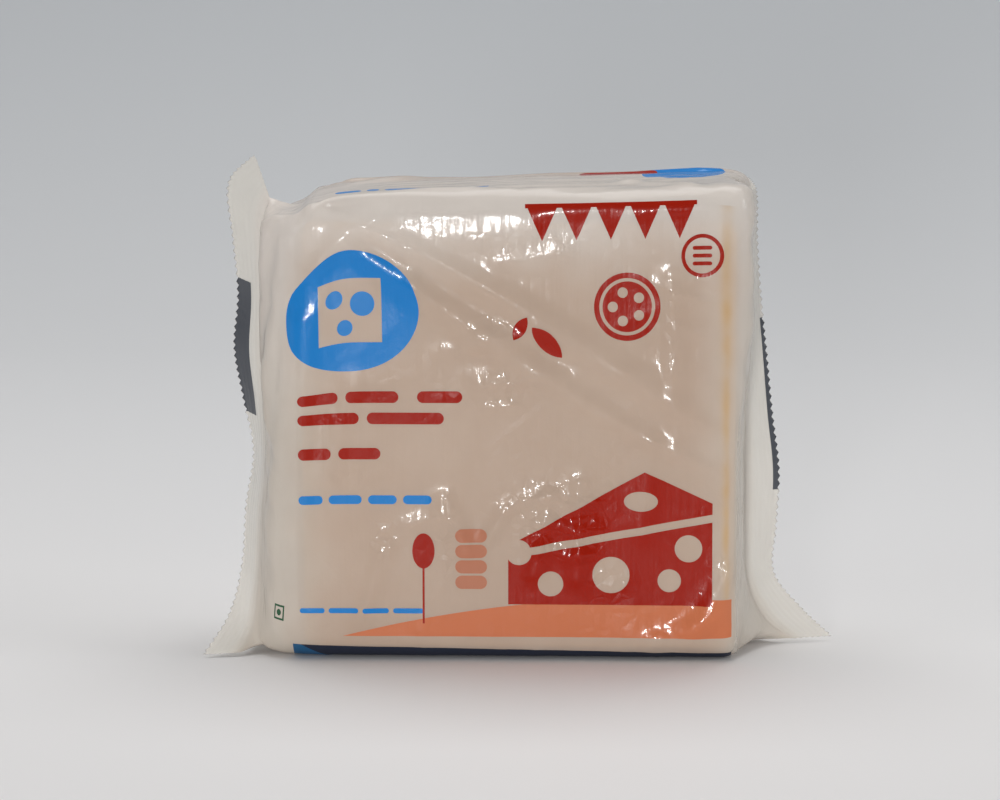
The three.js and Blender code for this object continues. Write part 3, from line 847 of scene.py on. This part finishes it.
def finish_film(shape):
    """Rounds the settled film, adds its sharper folds, presses in its ribs and cuts its teeth."""
    film = make_piece("outer_film", shape, film_material())
    film.modifiers.new("round", "SUBSURF").levels = 1
    rounded = film.evaluated_get(bpy.context.evaluated_depsgraph_get())
    film.data = bpy.data.meshes.new_from_object(rounded)
    film.modifiers.clear()
    mesh = film.data
    along, around = places_on_web(mesh)
    points = np.empty(3 * len(mesh.vertices))
    normals = np.empty(3 * len(mesh.vertices))
    mesh.vertices.foreach_get("co", points)
    mesh.vertices.foreach_get("normal", normals)
    points = points.reshape(-1, 3)
    normals = normals.reshape(-1, 3)

    # Folds of the front and creases all over
    fade = smoothstep(SEAL_START - np.abs(along), 0, FOLD_FADE)
    calm_end = smoothstep(HALF_WIDTH + 2 * FOLD_FADE - along, 0, FOLD_FADE)
    folds = fold_height(along, around + HALF_HEIGHT) + creases(along, around, CREASE_COUNT, 3) * calm_end
    points += normals * (folds * fade)[:, None]

    # Strength of the crinkles
    x, z = along / MM, (around + HALF_HEIGHT) / MM - PRINT_RISE
    for name, places in (("crinkled", CRINKLED), ("smooth", SMOOTH)):
        share = np.zeros(len(x))
        for middle, size, strength in places:
            away = ((x - middle[0]) / size[0]) ** 2 + ((z - middle[1]) / size[1]) ** 2
            share = np.maximum(share, strength * np.minimum(1, 1.8 * np.exp(-away)))
        mesh.attributes.new(name, "FLOAT", "POINT").data.foreach_set("value", share)

    # Ribs and teeth of the end seals
    past = np.abs(along) - SEAL_START
    reach = np.clip(past / SEAL_WIDTH, 0, 1)
    outward = np.where(normals[:, 1] > 0, 1, -1)[:, None] * normals
    ribs = RIB_HEIGHT * np.sin(2 * math.pi * past / RIB_PITCH) * np.minimum(1, 8 * reach)
    points += outward * np.where(reach < 0.97, ribs, 0)[:, None]
    tooth = np.abs((np.abs(around) * TEETH / (2 * HALF_SEAL)) % 1 - 0.5) * 2
    points[:, 0] += np.sign(along) * TOOTH_DEPTH * tooth * np.maximum(reach - 0.9, 0) * 10
    points[:, 2] = np.maximum(points[:, 2], FLOOR_CONTACT)
    mesh.vertices.foreach_set("co", points.ravel())
    mesh.update()
    mesh.shade_smooth()
    return film


web_film = film_shape()
web_film = settle(web_film)
outer_film = finish_film(web_film)
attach(outer_film, "root")
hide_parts("film_wrapper")

# Floor
# A pale sheet that lies flat under the pack and curves up behind it. It is painted darker towards the
# back and up the wall as painted shade, and near black in front of the pack, out of view, as the
# painted shade of a dark room.
FLOOR_WIDTH = 5.0
FLOOR_FRONT = -2.0
FLOOR_BEND = 0.35
BEND_RADIUS = 0.8
WALL_HEIGHT = 2.0


def floor_material():
    material, tree, shader = start_material("pale_floor")
    place = add_node(tree, "ShaderNodeTexCoord").outputs["Object"]
    clouds = noise_at(tree, place, 3, detail=3)
    depth = add_node(tree, "ShaderNodeSeparateXYZ", {0: place}).outputs[1]
    # Painted shade: the floor and wall are painted darker towards the back and up the wall, as the light falls off.
    rise = add_node(tree, "ShaderNodeMapRange", {"Value": depth, "From Min": 0.0, "From Max": 0.8})
    # Painted shade: the floor in front of the pack, out of view, is painted near black, as the shade of a dark room.
    near = add_node(tree, "ShaderNodeMapRange", {"Value": depth, "From Min": -0.2, "From Max": -0.32})
    pale = mixed(tree, clouds, (0.80, 0.79, 0.79, 1), (0.84, 0.82, 0.81, 1))
    pale = mixed(tree, rise.outputs[0], pale, (0.475, 0.495, 0.515, 1))
    tree.links.new(mixed(tree, near.outputs[0], pale, (0.14, 0.14, 0.14, 1)), shader.inputs["Base Color"])
    shader.inputs["Roughness"].default_value = 0.6
    shader.inputs["Specular IOR Level"].default_value = 0.2
    return material


shape = bmesh.new()
left_front = shape.verts.new((-FLOOR_WIDTH / 2, FLOOR_FRONT, 0))
right_front = shape.verts.new((FLOOR_WIDTH / 2, FLOOR_FRONT, 0))
edge = shape.edges.new((left_front, right_front))


def pull(edges, step):
    """Extrudes edges by a step and gives the new ones."""
    made = bmesh.ops.extrude_edge_only(shape, edges=edges)["geom"]
    bmesh.ops.translate(shape, verts=[v for v in made if isinstance(v, bmesh.types.BMVert)], vec=step)
    return [e for e in made if isinstance(e, bmesh.types.BMEdge)]


front_edge = pull([edge], Vector((0, FLOOR_BEND - FLOOR_FRONT, 0)))
rolled = bmesh.ops.spin(shape, geom=front_edge, cent=(0, FLOOR_BEND, BEND_RADIUS), axis=(1, 0, 0),
                        angle=math.pi / 2, steps=24)
top_edge = [e for e in rolled["geom_last"] if isinstance(e, bmesh.types.BMEdge)]
pull(top_edge, Vector((0, 0, WALL_HEIGHT)))
bmesh.ops.recalc_face_normals(shape, faces=shape.faces)
floor = make_piece("floor", shape, floor_material())

# Light
# A wide soft box hangs over the pack, a small one stands low at the front, two more light it from the
# sides, and the room is pale.


def soft_box(name, place, aim, size, power, colour=(1, 1, 1)):
    lamp = bpy.data.lights.new(name, "AREA")
    lamp.shape = "RECTANGLE"
    lamp.size, lamp.size_y = size
    lamp.energy = power
    lamp.color = colour
    box = bpy.data.objects.new(name, lamp)
    box.location = place
    box.rotation_euler = (Vector(aim) - Vector(place)).to_track_quat("-Z", "Y").to_euler()
    bpy.context.collection.objects.link(box)


soft_box("overhead", (0, 0.28, 1.0), (0, 0, 0), (1.1, 0.7), 7.8)
soft_box("front_low", (-0.12, -1.2, 0.15), (0, 0, 0.05), (0.13, 0.13), 6.5)
soft_box("right", (1.0, -0.1, 0.5), (0, 0, 0.05), (0.4, 0.4), 2)
soft_box("left", (-1.0, -0.5, 0.5), (0, 0, 0.05), (0.4, 0.4), 1)
world = bpy.data.worlds.new("pale_room")
world.use_nodes = True
world.node_tree.nodes["Background"].inputs["Color"].default_value = (0.96, 0.98, 1.0, 1)
world.node_tree.nodes["Background"].inputs["Strength"].default_value = 0.17
bpy.context.scene.world = world
bpy.context.scene.view_settings.view_transform = "Standard"

# Camera
# It looks a little down on the printed front.
CAMERA_DISTANCE = 0.8
CAMERA_TURN = math.radians(1.5)
CAMERA_RISE = math.radians(10)
PIXELS_PER_METRE = 5265  # on the front panel
IMAGE_WIDTH = 1000
SENSOR = 36.0
AIM = Vector((-3 * MM, -HALF_DEPTH, 50.8 * MM))

camera_data = bpy.data.cameras.new("camera")
camera_data.sensor_width = SENSOR
camera_data.lens = PIXELS_PER_METRE * CAMERA_DISTANCE * SENSOR / IMAGE_WIDTH
camera_data.clip_start = 0.01
camera = bpy.data.objects.new("camera", camera_data)
look = Vector((-math.sin(CAMERA_TURN) * math.cos(CAMERA_RISE), math.cos(CAMERA_TURN) * math.cos(CAMERA_RISE),
               -math.sin(CAMERA_RISE)))
camera.location = AIM - look * CAMERA_DISTANCE
camera.rotation_euler = look.to_track_quat("-Z", "Y").to_euler()
bpy.context.collection.objects.link(camera)
bpy.context.scene.camera = camera
